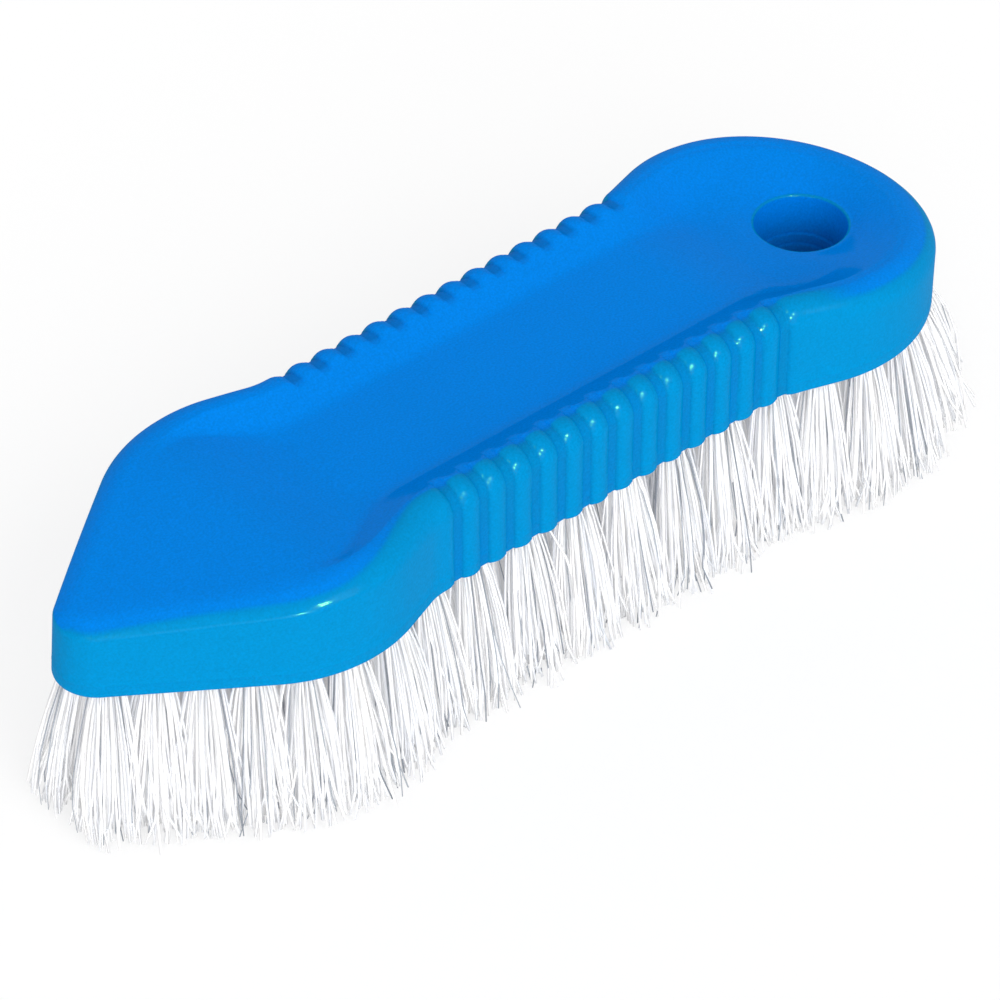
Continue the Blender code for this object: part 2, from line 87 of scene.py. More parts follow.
def linearColor(hexText):
    # Linear colour from an sRGB hex text.
    parts = [int(hexText[i:i + 2], 16) / 255 for i in (1, 3, 5)]
    return [c / 12.92 if c <= 0.04045 else ((c + 0.055) / 1.055) ** 2.4 for c in parts] + [1]


def newMaterial(name):
    material = bpy.data.materials.new(name)
    material.use_nodes = True
    material.node_tree.nodes.clear()
    return material


def addNode(material, kind, inputs=None, **settings):
    node = material.node_tree.nodes.new(kind)
    for key, value in settings.items():
        setattr(node, key, value)
    for key, value in (inputs or {}).items():
        if isinstance(value, bpy.types.NodeSocket):
            material.node_tree.links.new(value, node.inputs[key])
        else:
            node.inputs[key].default_value = value
    return node


def newObject(name, points, faces, material):
    # Object at the world's origin from points in millimetres.
    mesh = bpy.data.meshes.new(name)
    mesh.from_pydata((np.asarray(points) * mm).tolist(), [], [list(map(int, f)) for f in faces])
    mesh.materials.append(material)
    piece = bpy.data.objects.new(name, mesh)
    bpy.context.scene.collection.objects.link(piece)
    return piece


def smoothStep(value):
    value = np.clip(value, 0, 1)
    return value * value * (3 - 2 * value)


def gridFaces(rows, columns):
    # Quads of a grid whose point number is row * columns + column.
    row, column = np.meshgrid(np.arange(rows - 1), np.arange(columns - 1), indexing="ij")
    first = (row * columns + column).ravel()
    return np.column_stack([first, first + columns, first + columns + 1, first + 1])


# Block outline

# The block's own frame has x from its middle towards the tail and z from its underside. The grooves'
# floor and flank and the ribs' crown are shares of the pitch.
block = {
    "length": 200, "tipRadius": 8.4, "noseHalfAngle": 35.8, "cornerHalfWidth": 33.35,
    "cornerRadius": 28.4, "neckAngle": 19.9, "waistHalfWidth": 25.1, "waistTaper": 0.77,
    "waistInRadius": 10.3, "waistOutRadius": 24.4, "flareAngle": 19.25, "tailRadius": 31.25,
    "rimHeight": 19.75, "noseDrop": 6.65, "noseDropRun": 65, "noseDropPower": 1.65,
    "tailDrop": 5.7, "tailDropRun": 64, "tailDropPower": 2, "noseLean": 1.4, "noseLeanPower": 2.75,
    "waistShoulder": 4.5, "noseShoulder": 5.4, "tailShoulderWidth": 5.75, "tailShoulderHeight": 4.7,
    "shoulderBlend": 25, "noseEdgeRadius": 1.0, "noseEdgeAngle": 50, "tipEdgeAngle": 38, "tipEdgeRun": 30,
    "crestWidth": 1.0, "dishDepth": 3.2, "dishStart": 36, "dishRise": 23, "slopeRun": 6.8,
    "tailSlopeRun": 8.8, "leastSlopeShare": 0.3, "deckStart": 42, "deckBlend": 28, "deckHeight": 11.8,
    "endStart": 57, "endBlend": 19, "footRound": 0.35, "wallFoot": 1.3,
    "partingHeight": 2.5, "partingBump": 0.03, "partingHalf": 0.05, "partingFoot": 0.14,
    "grooves": 14, "gripShare": 0.995, "firstGrooveShare": 0.911, "grooveDepth": 0.87,
    "grooveFloor": 0.155, "grooveFlank": 0.04, "ribSagitta": 0.48, "ribCrown": 0.28, "grooveReach": 6.6,
    "holeFromTail": 23.2, "holeRadius": 9, "holeRim": 0.6, "holeDraft": 1.6, "boreStart": 8.1,
    "boreLedges": (3.8, 1.9), "ledgeWidth": 0.55, "ledgeSlope": 0.1, "sharpAngle": 40,
}
noseX, tailX = -block["length"] / 2, block["length"] / 2
tipX = noseX + block["tipRadius"]
noseAngle, neckAngle, flareAngle = [math.radians(block[key])
                                    for key in ("noseHalfAngle", "neckAngle", "flareAngle")]
noseApex = tipX - block["tipRadius"] / math.sin(noseAngle)
cornerX = noseApex + block["cornerHalfWidth"] / math.tan(noseAngle)
waistStart = cornerX + (block["cornerHalfWidth"] - block["waistHalfWidth"]) / math.tan(neckAngle)
tailCentre = tailX - block["tailRadius"]
endHalfWidth = block["waistHalfWidth"] + block["waistTaper"]
flare = (block["tailRadius"] - endHalfWidth * math.cos(flareAngle)) / math.sin(flareAngle)
waistEnd = tailCentre - flare
groovePitch = block["gripShare"] * (waistEnd - waistStart) / block["grooves"]
firstGroove = waistStart + block["firstGrooveShare"] * groovePitch
holeX = tailX - block["holeFromTail"]


def arc(centre, radius, start, end):
    # Points half a degree apart.
    angles = np.linspace(start, end, max(3, int(abs(end - start) / math.radians(0.5))))
    return np.column_stack([centre[0] + radius * np.cos(angles), centre[1] + radius * np.sin(angles)])


def fillet(before, corner, after, radius):
    # Arc that rounds a corner between two straight sides.
    before, corner, after = [np.array(p, float) for p in (before, corner, after)]
    first = (corner - before) / np.linalg.norm(corner - before)
    second = (after - corner) / np.linalg.norm(after - corner)
    side = math.copysign(1, first[0] * second[1] - first[1] * second[0])
    turn = math.acos(np.clip(first @ second, -1, 1))
    start = corner - first * radius * math.tan(turn / 2)
    facing = np.array([-first[1], first[0]]) * side
    angle = math.atan2(-facing[1], -facing[0])
    return arc(start + facing * radius, radius, angle, angle + side * turn)


def halfOutline():
    # The +Y half from the nose tip to the tail's end: a chain of straight sides with rounded corners
    # between two arcs. It returns points a quarter millimetre apart, their way along it and the normals.
    quarter, spacing, least = math.pi / 2, 0.25, 0.001
    tip = arc((tipX, 0), block["tipRadius"], math.pi, quarter + noseAngle)
    tail = arc((tailCentre, 0), block["tailRadius"], quarter + flareAngle, 0)
    chain = [tip[-1], (cornerX, block["cornerHalfWidth"]), (waistStart, block["waistHalfWidth"]),
             (waistEnd, endHalfWidth), tail[0]]
    radii = [block["cornerRadius"], block["waistInRadius"], block["waistOutRadius"]]
    bends = [fillet(*chain[i:i + 3], radii[i]) for i in range(3)]
    coarse = np.vstack([tip, *bends, tail])
    keep = np.concatenate(([True], np.linalg.norm(np.diff(coarse, axis=0), axis=1) > least))
    coarse = coarse[keep]
    run = np.concatenate(([0], np.cumsum(np.linalg.norm(np.diff(coarse, axis=0), axis=1))))
    even = np.linspace(0, run[-1], int(run[-1] / spacing) + 1)
    path = np.column_stack([np.interp(even, run, coarse[:, i]) for i in (0, 1)])
    tangent = np.gradient(path, even, axis=0)
    tangent /= np.linalg.norm(tangent, axis=1, keepdims=True)
    tangent[0], tangent[-1] = (0, 1), (0, -1)
    path[0, 1] = path[-1, 1] = 0
    return path, even, np.column_stack([-tangent[:, 1], tangent[:, 0]])


outline, outlineRun, outlineNormal = halfOutline()


def insetOf(x, y):
    # Distance from points of the plan to the outline, a batch at a time to spare memory.
    x, y = np.ravel(x), np.abs(np.ravel(y))
    least, batch = np.empty(len(x)), 2000
    for i in range(0, len(x), batch):
        part = slice(i, i + batch)
        away = (outline[None, :, 0] - x[part, None]) ** 2 + (outline[None, :, 1] - y[part, None]) ** 2
        least[part] = np.sqrt(away.min(1))
    return least


def rimHeight(x):
    # The crest's height: level along the waist, less drop * (share of the way to the end) ^ power.
    toNose = np.clip((noseX + block["noseDropRun"] - x) / block["noseDropRun"], 0, None)
    toTail = np.clip((x - tailX + block["tailDropRun"]) / block["tailDropRun"], 0, None)
    noseDrop = block["noseDrop"] * toNose ** block["noseDropPower"]
    tailDrop = block["tailDrop"] * toTail ** block["tailDropPower"]
    return block["rimHeight"] - (noseDrop + tailDrop)


def deckShare(x):
    # 0 along the waist, 1 where the level deck round the hole is reached.
    return smoothStep((x - block["deckStart"]) / block["deckBlend"])


def dishShare(x):
    # 0 on the nose, where the top is plain, and 1 where the dish has its full depth.
    return smoothStep((x - noseX - block["dishStart"]) / block["dishRise"])


def dishDepth(x):
    # Even along the waist; at the tail it reaches the deck round the hole.
    even = block["dishDepth"] * dishShare(x)
    return even + deckShare(x) * (rimHeight(x) - block["deckHeight"] - even)


def endShare(x):
    # 1 at the tail's end, where the slope runs all the way from the crest to the hole.
    return smoothStep((x - block["endStart"]) / block["endBlend"])


def slopeRun(x):
    # Width of the dish's slope in the plan. It narrows with the depth where the dish starts.
    waist = block["slopeRun"] * np.maximum(dishShare(x), block["leastSlopeShare"])
    return waist + deckShare(x) * (block["tailSlopeRun"] - waist)


def noseShare(x):
    # 0 along the waist and 1 on the nose.
    return smoothStep((waistStart - x) / block["shoulderBlend"])


def tailShare(x):
    # 0 along the waist and 1 on the tail.
    return smoothStep((x - waistEnd) / block["shoulderBlend"])


def shoulderWidth(x):
    # Width of the shoulder in the plan, from the wall to the crest.
    width = block["waistShoulder"] + noseShare(x) * (block["noseShoulder"] - block["waistShoulder"])
    return width + tailShare(x) * (block["tailShoulderWidth"] - block["waistShoulder"])


def noseLean(x):
    # How far the wall leans inwards at the crest, towards the nose.
    toNose = np.clip((waistStart - x) / (waistStart - noseX), 0, 1)
    return block["noseLean"] * toNose ** block["noseLeanPower"]


def roundedRamp(u, start, end):
    # 0 below 0 and 1 above 1, straight between, with a parabola over `start` and `end` on each side.
    low = np.where(np.abs(u) < start, (u + start) ** 2 / (4 * start), np.clip(u, 0, None))
    high = 1 - np.where(np.abs(1 - u) < end, (1 - u + end) ** 2 / (4 * end), np.clip(1 - u, 0, None))
    return np.where(u < 0.5, low, high)


def topHeight(x, y):
    # z = rim(x) - dish(x) * share. Along the waist share is a straight ramp of (inset - crest) / run; round
    # the tail's end it is a / (a + b), with a the way from the crest and b the way to the hole.
    crest = shoulderWidth(x) + noseLean(x) + block["crestWidth"]
    fromCrest = np.maximum(insetOf(x, y).reshape(np.shape(x)) - crest, 0)
    toHole = np.maximum(np.hypot(x - holeX, y) - block["holeRadius"] - block["holeRim"], 0)
    notZero = 0.01
    near = roundedRamp(fromCrest / slopeRun(x), 0.05, 0.08)
    ring = roundedRamp(fromCrest / (fromCrest + toHole + notZero), 0.12, 0.06)
    return rimHeight(x) - dishDepth(x) * (near + endShare(x) * (ring - near))


def grooveDrop(x):
    # Depth below the outline by the distance from the middle of a groove, in pitches: a flat floor, a
    # short straight flank, then the rib's crown, sagitta * ((0.5 - distance) / crown) ^ 2.
    along = (x - firstGroove) / groovePitch
    away = np.abs(along - np.clip(np.round(along), 0, block["grooves"] - 1))
    flank = np.clip((away - block["grooveFloor"]) / block["grooveFlank"], 0, 1)
    crown = block["ribSagitta"] * np.clip((0.5 - away) / block["ribCrown"], 0, 1) ** 2
    return block["grooveDepth"] + flank * (crown - block["grooveDepth"])


# Block surface

# How finely the block's grid is cut: sections along the outline, points across the shoulder and up the
# wall, and how far from the crest the lines of the top run, then as shares of the rest of the way.
fineness = {
    "tipSections": 24, "noseSections": 100, "grooveSections": 20, "tailSections": 130,
    "shoulderPoints": 12, "edgePoints": 6, "wallShares": (0.2, 0.45, 0.7, 0.88),
    "topSteps": (0.35, 0.7, 1.0, 1.3, 1.6, 1.9, 2.2, 2.6, 3.0, 3.5, 4.2, 5.0, 5.8, 6.6, 7.6, 9.0),
    "nearShare": 0.8, "farShares": (0.25, 0.5, 0.75, 1.0),
}


def stationRuns():
    # Where sections are taken, as ways along the outline: less than 1 mm apart, closer at the tip.
    gripLow = np.interp(firstGroove - groovePitch / 2, outline[:, 0], outlineRun)
    gripHigh = np.interp(firstGroove + (block["grooves"] - 0.5) * groovePitch, outline[:, 0], outlineRun)
    tipEnd = block["tipRadius"] * (math.pi / 2 - noseAngle)
    parts = [np.linspace(0, tipEnd, fineness["tipSections"]),
             np.linspace(tipEnd, gripLow, fineness["noseSections"]),
             np.linspace(gripLow, gripHigh, fineness["grooveSections"] * block["grooves"] + 1),
             np.linspace(gripHigh, outlineRun[-1], fineness["tailSections"])]
    return np.unique(np.round(np.concatenate(parts), 5))


def shoulderProfile(x, drop):
    # Inset and height under the crest of each shoulder point. The waist has a quarter circle and the
    # tail a quarter ellipse: inset = w - (w - drop) cos t, below = h - (h - drop) sin t. The nose has a
    # tight arc up to the edge angle and a wide arc from there to the crest.
    count, tight = fineness["shoulderPoints"], fineness["edgePoints"]
    turn = np.linspace(0, np.pi / 2, count)[None, :]
    tail = tailShare(x)[:, None]
    wide = block["waistShoulder"] + tail * (block["tailShoulderWidth"] - block["waistShoulder"])
    high = block["waistShoulder"] + tail * (block["tailShoulderHeight"] - block["waistShoulder"])
    drop = drop[:, None]
    inset = wide - (wide - drop) * np.cos(turn)
    below = high - (high - drop) * np.sin(turn)
    toTip = np.clip((noseX + block["tipEdgeRun"] - x) / block["tipEdgeRun"], 0, 1)[:, None]
    edge = np.radians(block["noseEdgeAngle"] + toTip * (block["tipEdgeAngle"] - block["noseEdgeAngle"]))
    radius = block["noseEdgeRadius"]
    tightTurn = np.pi / 2 - (np.pi / 2 - edge) * np.linspace(0, 1, tight)[None, :]
    softTurn = edge * np.linspace(1, 0, count - tight + 1)[None, 1:]
    softRadius = (block["noseShoulder"] - radius * (1 - np.sin(edge))) / np.sin(edge)
    noseInset = np.hstack([radius * (1 - np.sin(tightTurn)),
                           block["noseShoulder"] - softRadius * np.sin(softTurn)])
    noseBelow = np.hstack([radius * (np.cos(edge) - np.cos(tightTurn)) + softRadius * (1 - np.cos(edge)),
                           softRadius * (1 - np.cos(softTurn))])
    nose = noseShare(x)[:, None]
    return inset + nose * (noseInset - inset), below + nose * (noseBelow - below)


def blockSurface(runs):
    # Half the block's skin as a grid, one row a section: foot, wall with the mould line, shoulder,
    # crest, dish side and floor up to the middle line or to the rim of the hole. Up to the crest a point
    # is outline - normal * (inset + lean * height / rim); from there it runs to the section's inner end.
    point = np.column_stack([np.interp(runs, outlineRun, outline[:, i]) for i in (0, 1)])
    normal = np.column_stack([np.interp(runs, outlineRun, outlineNormal[:, i]) for i in (0, 1)])
    normal /= np.linalg.norm(normal, axis=1, keepdims=True)
    drop = grooveDrop(point[:, 0])
    inset, below = shoulderProfile(point[:, 0], drop)
    lean = noseLean(point[:, 0])
    crest = point - normal * (shoulderWidth(point[:, 0]) + lean)[:, None]
    rim = rimHeight(crest[:, 0])
    foot, line = block["footRound"], block["partingHeight"]
    columns = [(drop + foot * (1 - np.sin(turn)), np.full(len(runs), foot * (1 - np.cos(turn))))
               for turn in np.radians([0, 30, 60, 90])]
    half, edge = block["partingHalf"], block["partingFoot"]
    for height, bump in ((block["wallFoot"], 0), (line - edge, 0), (line - half, 1), (line + half, 1),
                         (line + edge, 0)):
        columns.append((drop - bump * block["partingBump"], np.full(len(runs), height)))
    wallTop = rim - below[:, 0]
    columns += [(drop, line + (wallTop - line) * share) for share in fineness["wallShares"]]
    columns += [(inset[:, i], rim - below[:, i]) for i in range(inset.shape[1])]
    rows = [np.column_stack([point - normal * (away + lean * height / rim)[:, None], height])
            for away, height in columns]
    aim, onHole = innerEnd(crest)
    across = aim - crest
    span = np.linalg.norm(across, axis=1)
    steps, nearShare = fineness["topSteps"], fineness["nearShare"]
    for i, step in enumerate(steps):
        share = np.minimum(step / span, nearShare * (i + 1) / len(steps))
        rows.append(topRow(crest, across, share, rim, drop, step < block["grooveReach"]))
    near = np.minimum(steps[-1] / span, nearShare)
    for far in fineness["farShares"]:
        rows.append(topRow(crest, across, near + (1 - near) * far, rim, drop, False))
    return np.stack(rows, axis=1), onHole


def topRow(crest, across, share, rim, drop, inReach):
    # One line of the top: its height, or the groove's own level where a groove still runs.
    place = crest + across * share[:, None]
    height = topHeight(place[:, 0], place[:, 1])
    if inReach:
        height = np.where(drop > 0.01, np.minimum(height, rim - drop), height)
    return np.column_stack([place, height])


def innerEnd(crest):
    # Where each section ends: straight across on the middle line, and beside the hole on its rim. For
    # a crest point at the angle a it ends at the angle a + (180 - a0) * (a / a0)^3 round the hole, where
    # a0 is the angle of the first section that ends on the rim.
    wide = block["holeRadius"] + block["holeRim"]
    angle = np.arctan2(crest[:, 1], crest[:, 0] - holeX)
    onHole = crest[:, 0] > holeX - wide
    first = angle[onHole].max()
    turned = angle + (np.pi - first) * (angle / first) ** 3
    turned[np.argmax(onHole)] = np.pi
    turned[-1] = 0
    aim = np.column_stack([np.maximum(crest[:, 0], tipX + 1), np.zeros(len(crest))])
    aim[onHole] = np.column_stack([holeX + wide * np.cos(turned), wide * np.sin(turned)])[onHole]
    return aim, onHole


def holeSurface(edge):
    # Half the hanging hole's skin: the rounded rim, the wall that narrows by the draft and by its two
    # ledges, and the rounded foot. Wall radius = hole radius - ledges passed - draft * (top - z) / top.
    angle = np.arctan2(edge[:, 1], edge[:, 0] - holeX)
    radius, rim, foot = block["holeRadius"], block["holeRim"], block["footRound"]
    columns = [(radius + rim * (1 - math.sin(turn)), edge[:, 2] - rim * (1 - math.cos(turn)))
               for turn in np.radians([0, 15, 30, 45, 60, 75, 90])]
    top, slope = columns[-1][1].mean(), block["ledgeSlope"]
    stops = [(block["boreStart"], 0)]
    for passed, height in enumerate(block["boreLedges"]):
        stops += [(height + slope, passed), (height - slope, passed + 1)]
    for height, passed in stops:
        out = radius - passed * block["ledgeWidth"] - block["holeDraft"] * (top - height) / top
        columns.append((out, np.full(len(edge), height)))
    low = radius - block["holeDraft"] - len(block["boreLedges"]) * block["ledgeWidth"]
    for turn in np.radians([90, 60, 30, 0]):
        columns.append((low + foot * (1 - math.sin(turn)), np.full(len(edge), foot * (1 - math.cos(turn)))))
    rows = [np.column_stack([holeX + out * np.cos(angle), out * np.sin(angle), height])
            for out, height in columns]
    return np.stack(rows, axis=1)


# Tufts as the frame has them

def tuftPlaces():
    # Root and tip middle of each CAD tuft, from the top ring and the flat ends of its node.
    places = []
    for name, node in sorted(frame["nodes"].items()):
        if not name.startswith("tuft_"):
            continue
        points = np.empty(len(node.data.vertices) * 3)
        node.data.vertices.foreach_get("co", points)
        points = np.unique(np.round(points.reshape(-1, 3) / mm, 3), axis=0)
        top, tips = points[points[:, 2] > points[:, 2].max() - 0.1], points[points[:, 2] < 0.1]
        rings = np.unique(np.round(top, 2), axis=0)
        root = (rings.min(0) + rings.max(0))[:2] / 2
        places.append({"node": name, "root": root, "lean": (tips.min(0) + tips.max(0))[:2] / 2 - root})
    return places


tuftHole = {
    "radius": 2.7, "depth": 9.0, "sides": 24, "wall": 0.5, "rowStep": 6.4, "toBore": 1, "rowLean": 0.8,
}


def secondRow(first):
    # A second row, a step inwards of the outer one and behind its gaps, wherever a hole has room. The
    # CAD leaves it to the scene. It leans less than the outer row, by the share rowLean.
    outer = [t for t in first if "rim" in t["node"] or "tail" in t["node"]]
    added = []
    for side in ("left", "right"):
        row = [t["root"] for t in outer if side in t["node"] or "tail" in t["node"]]
        lean = [t["lean"] for t in outer if side in t["node"] or "tail" in t["node"]]
        # From the nose to the tail, by the angle from a point beside the middle.
        order = np.argsort([math.atan2(abs(p[1]) + 2, p[0]) for p in row])[::-1]
        for i, j in zip(order[:-1], order[1:]):
            chord = row[j] - row[i]
            inward = np.array([chord[1], -chord[0]]) / np.linalg.norm(chord)
            toMiddle = (0, -1) if row[i][1] + row[j][1] > 0 else (0, 1)
            inward *= math.copysign(1, inward @ toMiddle)
            place = (row[i] + row[j]) / 2 + inward * tuftHole["rowStep"]
            nearest = min(np.linalg.norm(place - t["root"]) for t in first + added)
            toHole = np.linalg.norm(place - (middleX + holeX, 0)) - block["holeRadius"]
            roomy = nearest > 2 * tuftHole["radius"] + tuftHole["wall"]
            if roomy and toHole > tuftHole["radius"] + tuftHole["toBore"]:
                added.append({"node": None, "name": f"filaments_second_{side}_{len(added) + 1:02d}",
                              "root": place, "lean": (lean[i] + lean[j]) / 2 * tuftHole["rowLean"]})
    return added


tufts = tuftPlaces()
tufts += secondRow(tufts)


def undersideFaces(footLoop, holeLoop):
    # The flat underside between the foot of the wall, the hanging hole and the tuft holes: a Delaunay
    # triangulation that keeps to their edges, less the triangles that lie outside or in a hole.
    turn = np.arange(tuftHole["sides"]) / tuftHole["sides"] * 2 * np.pi
    circle = np.column_stack([np.cos(turn), np.sin(turn)]) * tuftHole["radius"]
    loops = [footLoop, holeLoop] + [circle + t["root"] - (middleX, 0) for t in tufts]
    points, edges = np.vstack(loops), []
    start = 0
    for loop in loops:
        count = len(loop)
        edges += [(start + i, start + (i + 1) % count) for i in range(count)]
        start += count
    found = delaunay_2d_cdt([Vector(p) for p in points.tolist()], edges, [], 0, 1e-5)
    places, faces = np.array([(v.x, v.y) for v in found[0]]), np.array(found[2])
    middle = places[faces].mean(1)
    half = footLoop[np.argsort(footLoop[:, 0])]
    half = half[half[:, 1] >= -1e-6]
    inside = np.abs(middle[:, 1]) < np.interp(middle[:, 0], half[:, 0], half[:, 1])
    boreRadius = np.linalg.norm(holeLoop - (holeX, 0), axis=1).min()
    inside &= np.hypot(middle[:, 0] - holeX, middle[:, 1]) > boreRadius
    # The middle of a triangle inside a hole is nearer than the flats of the circle's sides.
    flatOfCircle = 0.985 * tuftHole["radius"]
    for t in tufts:
        fromTuft = middle - t["root"] + (middleX, 0)
        inside &= np.hypot(fromTuft[:, 0], fromTuft[:, 1]) > flatOfCircle
    return np.column_stack([places, np.zeros(len(places))]), faces[inside][:, ::-1], circle


def makeBlock(material):
    # Both halves of skin and bore, the underside, and a blind hole with a flat floor for each tuft.
    skin, onHole = blockSurface(stationRuns())
    bore = holeSurface(skin[onHole][:, -1])
    parts, faces, start = [], [], 0
    for grid in (skin, bore):
        quads = gridFaces(*grid.shape[:2])
        for side in (1, -1):
            parts.append(grid.reshape(-1, 3) * (1, side, 1))
            faces += (quads[:, ::side] + start).tolist()
            start += len(parts[-1])
    foot = np.vstack([skin[:, 0, :2], (skin[:, 0, :2] * (1, -1))[-2:0:-1]])
    hole = np.vstack([bore[:, -1, :2], (bore[:, -1, :2] * (1, -1))[-2:0:-1]])
    flat, flatFaces, circle = undersideFaces(foot, hole)
    parts.append(flat)
    faces += (flatFaces + start).tolist()
    start += len(flat)
    count = len(circle)
    for t in tufts:
        ring = circle + t["root"] - (middleX, 0)
        low = np.column_stack([ring, np.zeros(count)])
        high = np.column_stack([ring, np.full(count, tuftHole["depth"])])
        parts.append(np.vstack([low, high]))
        faces += [[start + i, start + (i + 1) % count, start + count + (i + 1) % count, start + count + i]
                  for i in range(count)]
        faces.append([start + count + i for i in range(count)])
        start += 2 * count
    piece = newObject("block_shell", np.vstack(parts) + (middleX, 0, underside), faces, material)
    weld, sliver = 0.01 * mm, 0.002 * mm
    shape = bmesh.new()
    shape.from_mesh(piece.data)
    bmesh.ops.remove_doubles(shape, verts=shape.verts, dist=weld)
    bmesh.ops.dissolve_degenerate(shape, edges=shape.edges, dist=sliver)
    bmesh.ops.recalc_face_normals(shape, faces=shape.faces)
    openEdges = sum(1 for edge in shape.edges if not edge.is_manifold)
    volume = round(shape.calc_volume() * 1e6, 1)
    print("block open edges", openEdges, "volume ml", volume, "faces", len(shape.faces))
    shape.to_mesh(piece.data)
    shape.free()
    piece.data.shade_smooth()
    piece.data.set_sharp_from_angle(angle=math.radians(block["sharpAngle"]))
    paintShares(piece.data)
    return piece


# Where the block's painted light turns its blue greener, and where painted shade darkens it. Places and
# fades are millimetres, the rest are shares.
paint = {
    "gripFrom": 12, "sunkFrom": 0.36, "sunkFade": 0.3, "topFrom": 0.3, "topFade": 1.2,
    "edgeFrom": 3.9, "noseEdgeFrom": 1.2, "edgeFade": 2.6, "noseEdgeFade": 2.2, "uprightFade": 0.5,
    "gain": 1.4, "tailGain": 2.0, "start": 0.4, "nearFrom": 2, "nearFade": 4, "ribPaintedLight": 0.3,
    "sunkPaintedShade": 0.28, "topShade": 0.02, "deckShade": 0.03, "slopePaintedLight": 0.24,
    "nearGroove": 0.1, "farGroove": 0.24, "grooveEnd": 0.2, "farGrooveMore": 0.7, "grooveFade": 1.1,
    "boreEdge": 0.03, "rimGap": 0.05, "rimFrom": 8, "rimPaintedHighlight": 0.8, "boreShade": 0.58, "boreFade": 12,
}


def paintShares(mesh):
    # `side` is painted light: the share of the greener blue that the lit walls show. It is 0 on the top and
    # 1 on upright walls. On the near side it goes by the distance from the outline, elsewhere by how upright
    # the surface is. `shade` is painted shade: it darkens the top a little, the groove ends more, and the
    # bore towards its foot. It also lightens the tail's near slopes that face away from the lamps, painted
    # light.
    count = len(mesh.vertices)
    normals, points = np.empty(count * 3), np.empty(count * 3)
    mesh.vertices.foreach_get("normal", normals)
    mesh.vertices.foreach_get("co", points)
    normals, points = normals.reshape(-1, 3), points.reshape(-1, 3) / mm - (middleX, 0, underside)
    x, y, z = points.T
    atNose, atTail, far = noseShare(x), tailShare(x), y > 0
    outer = np.abs(y) > paint["gripFrom"]
    sunk = smoothStep((grooveDrop(x) - paint["sunkFrom"]) / paint["sunkFade"]) * outer
    onRib = (x > firstGroove) * (x < firstGroove + (block["grooves"] - 0.5) * groovePitch) * outer
    inset = insetOf(x, y)
    toCrest = inset - shoulderWidth(x) - noseLean(x)
    onTop = smoothStep((toCrest - paint["topFrom"]) / paint["topFade"])

    # Painted light on the near side, which faces the lamps: the lit blue reaches from the outline over the
    # shoulder.
    edgeFrom = paint["edgeFrom"] + atNose * (paint["noseEdgeFrom"] - paint["edgeFrom"])
    edgeFade = paint["edgeFade"] + atNose * (paint["noseEdgeFade"] - paint["edgeFade"])
    paintedLightByPlace = 1 - smoothStep((inset - edgeFrom) / edgeFade)
    upright = smoothStep((1 - np.abs(normals[:, 2])) / paint["uprightFade"])
    gain = paint["gain"] + atTail * (paint["tailGain"] - paint["gain"])
    paintedLightByNormal = smoothStep(upright * gain - paint["start"] * (1 - atTail))
    near = (1 - atTail) * smoothStep((paint["nearFrom"] - y) / paint["nearFade"])
    side = (near * paintedLightByPlace + (1 - near) * paintedLightByNormal) * (1 - onTop)
    # Painted light on the ribs' left, where the light comes from; painted shade in the groove floors.
    side *= (1 - paint["ribPaintedLight"] * onRib * normals[:, 0]) * (1 - paint["sunkPaintedShade"] * sunk)

    # Painted shade on the top and deck; painted light on the tail's near slopes that face away from the
    # lamps.
    away = endShare(x) * np.clip(normals[:, 1], 0, None) * (y < 0)
    shade = 1 - onTop * (paint["topShade"] + paint["deckShade"] * deckShare(x) - paint["slopePaintedLight"] * away)
    # Painted shade in the grooves, stronger on the far side, fading past the crest.
    groove = paint["nearGroove"] + (paint["farGroove"] - paint["nearGroove"]) * far
    pastEnd = toCrest - paint["grooveEnd"] - paint["farGrooveMore"] * far
    shade -= groove * sunk * (1 - smoothStep(pastEnd / paint["grooveFade"]))

    toHole = np.hypot(x - holeX, y) - block["holeRadius"]
    inBore = toHole < paint["boreEdge"]
    # Painted highlight: a thin line of the lit blue along the hole's rim.
    onRim = ~inBore & (toHole < block["holeRim"] - paint["rimGap"]) & (z > paint["rimFrom"])
    side = np.where(inBore, 0, np.where(onRim, paint["rimPaintedHighlight"], side))
    # Painted shade: the bore darkens towards its foot.
    depthShade = paint["boreShade"] + (1 - paint["boreShade"]) * smoothStep(z / paint["boreFade"])
    shade = np.where(inBore, depthShade, shade)
    mesh.attributes.new("side", "FLOAT", "POINT").data.foreach_set("value", side)
    mesh.attributes.new("shade", "FLOAT", "POINT").data.foreach_set("value", shade)


# Materials

# Such a mould's grain, about 0.1 mm, is too fine to show, so it is drawn at 0.45 mm, two pixels of the
# render. The clouds are the slow drift of colour along the moulding. topBlue is the plastic's own blue; the
# other blues are painted light and shade: the greener blue of the lit walls and edges, and a darker blue
# for the shoulders, where the lamps fall strongest.
plastic = {
    "grainSize": 0.45, "grainDepth": 0.06, "grainLight": (0.9, 1.1), "cloudSize": 28.0,
    "cloudDrift": (-0.06, 0.1), "topBlue": "#007cdb", "slopePaintedShadeBlue": "#0078d2", "edgePaintedLightBlue": "#0081bd",
    "wallPaintedLightBlue": "#0084bf", "roughness": 0.6, "gloss": 0.06, "glossRoughness": (0.08, 0.11), "ior": 1.5,
}


